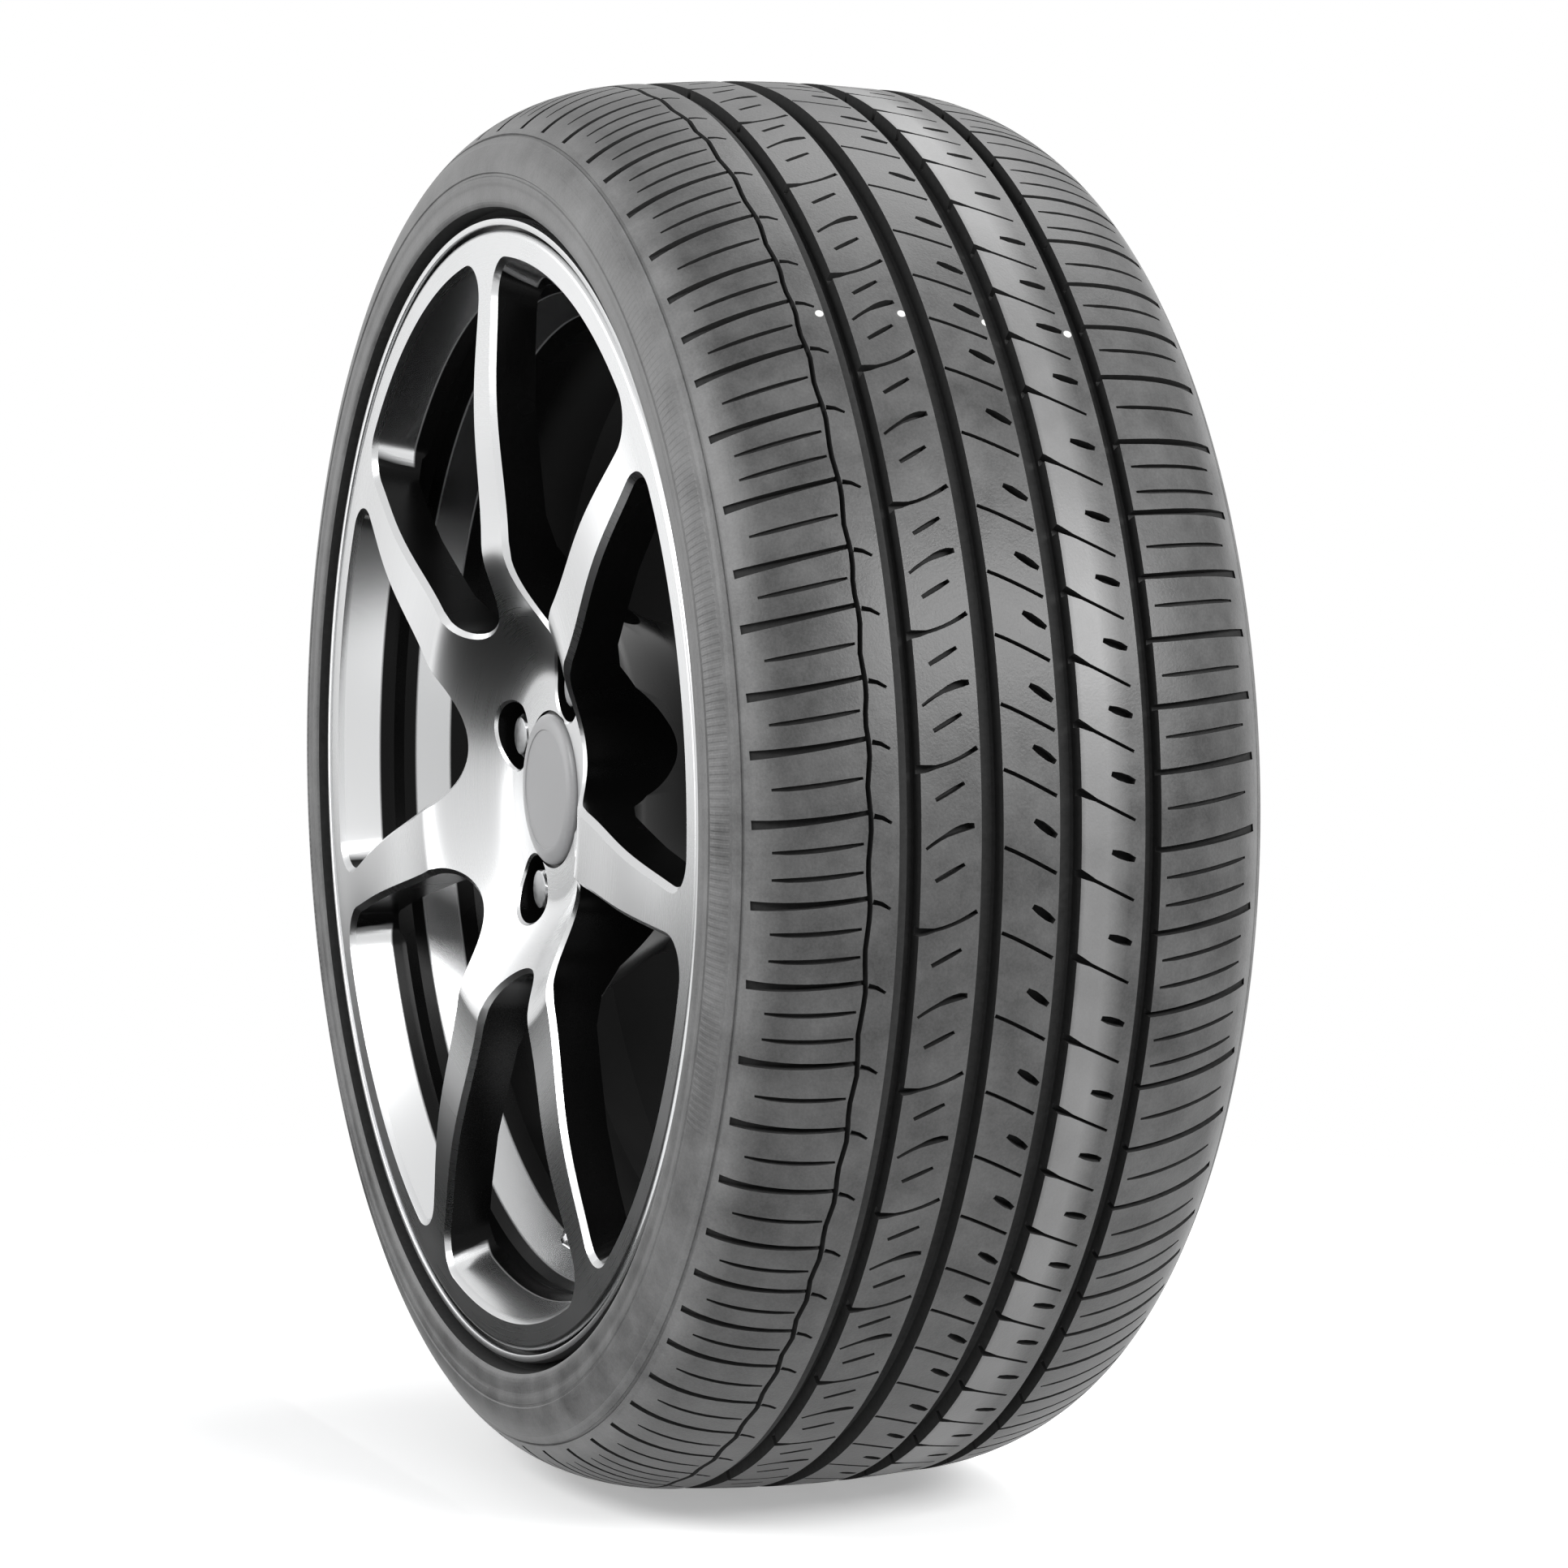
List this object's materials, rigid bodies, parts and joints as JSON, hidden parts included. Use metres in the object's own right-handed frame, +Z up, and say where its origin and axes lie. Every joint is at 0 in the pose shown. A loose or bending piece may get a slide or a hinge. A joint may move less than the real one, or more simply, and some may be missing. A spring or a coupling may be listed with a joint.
{
  "type": "car wheel with tyre",
  "caption": "Low-profile car tyre with a grooved asymmetric tread, fitted on a slim-spoked alloy wheel with wheel bolts, centre cap and valve.",
  "frame": {"origin": "centre of the rim on the axle, midway between the two flanges, which is also the centre of the tyre's bounding box", "axes": "the axle lies along Y, the outer (visible) face looks towards -Y, the hub face looks towards +Y, and +Z is up"},
  "size_m": [0.6168, 0.238, 0.6166],
  "materials": {
    "tyre_rubber": "matte, dusty grey",
    "wheel_alloy": "diamond-turned face under clear coat, black painted pockets and barrel",
    "cap_plastic": "light grey, satin",
    "bolt_steel": "zinc plated",
    "valve_rubber": "matte",
    "core_brass": "satin",
    "cap_metal": "polished"
  },
  "bodies": {
    "root": {"tyre": "tyre_rubber", "alloy_wheel": "wheel_alloy", "centre_cap": "cap_plastic", "wheel_bolts": "bolt_steel", "valve_stem": "valve_rubber", "valve_core": "core_brass", "valve_cap": "cap_metal"}
  },
  "joints": []
}
